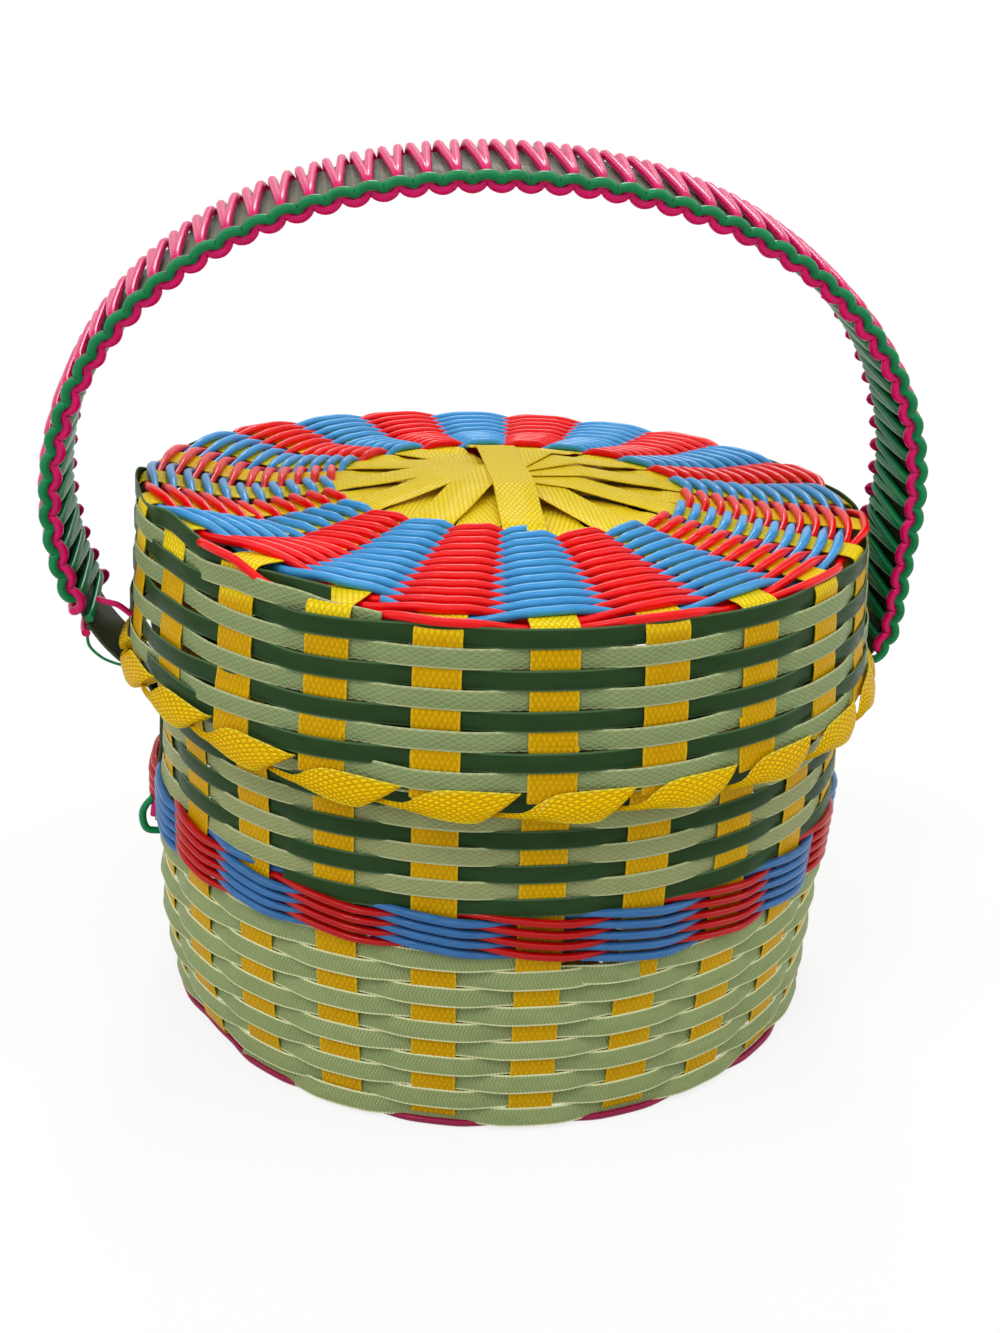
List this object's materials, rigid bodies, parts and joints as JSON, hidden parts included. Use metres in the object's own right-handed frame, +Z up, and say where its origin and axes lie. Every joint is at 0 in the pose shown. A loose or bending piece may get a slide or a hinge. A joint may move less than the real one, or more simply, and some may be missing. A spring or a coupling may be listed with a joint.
{
  "type": "lidded woven basket",
  "caption": "Round basket woven from flat plastic straps and twined plastic tubes, with a deep cap lid that lifts off and a tall hoop handle laced over a flat core",
  "frame": {"origin": "centre of the footprint, on the surface that the basket stands on", "axes": "+Z up; +Y away from the front, which is where the viewer stood; the handle's arch runs along X and leans a little towards -Y"},
  "size_m": [0.3275, 0.2932, 0.3252],
  "materials": {
    "yellow_strap": "embossed satin",
    "sage_strap": "embossed satin",
    "dark_green_strap": "smooth",
    "olive_strap": "smooth satin",
    "red_tube": "glossy",
    "blue_tube": "glossy",
    "magenta_tube": "glossy",
    "green_tube": "glossy"
  },
  "bodies": {
    "base": {"base_stake_01": "yellow_strap", "base_stake_02": "yellow_strap", "base_stake_03": "yellow_strap", "base_stake_04": "yellow_strap", "base_stake_05": "yellow_strap", "base_stake_06": "yellow_strap", "base_stake_07": "yellow_strap", "base_stake_08": "yellow_strap", "base_stake_09": "yellow_strap", "base_stake_10": "yellow_strap", "base_stake_11": "yellow_strap", "base_stake_12": "yellow_strap", "floor_twining": "blue_tube", "foot_tube": "magenta_tube", "lower_weaver_a": "sage_strap", "lower_weaver_b": "sage_strap", "band_twining": "red_tube", "upper_dark_weaver": "dark_green_strap", "upper_light_weaver": "sage_strap", "base_rim_hoop": "yellow_strap", "handle_core": "olive_strap", "handle_outer_lacing": "magenta_tube", "handle_inner_lacing": "green_tube"},
    "lid": {"lid_stake_01": "yellow_strap", "lid_stake_02": "yellow_strap", "lid_stake_03": "yellow_strap", "lid_stake_04": "yellow_strap", "lid_stake_05": "yellow_strap", "lid_stake_06": "yellow_strap", "lid_stake_07": "yellow_strap", "lid_stake_08": "yellow_strap", "lid_stake_09": "yellow_strap", "lid_stake_10": "yellow_strap", "lid_stake_11": "yellow_strap", "lid_stake_12": "yellow_strap", "lid_twining": "blue_tube", "lid_edge_tube": "red_tube", "lid_dark_weaver": "dark_green_strap", "lid_light_weaver": "sage_strap", "lid_rim_hoop": "dark_green_strap", "lid_lashing": "yellow_strap"}
  },
  "joints": [
    {"name": "lid_lift", "type": "slide", "parent": "base", "child": "lid", "axis": [0, 0, 1], "range_m": [0, 0.045]}
  ]
}
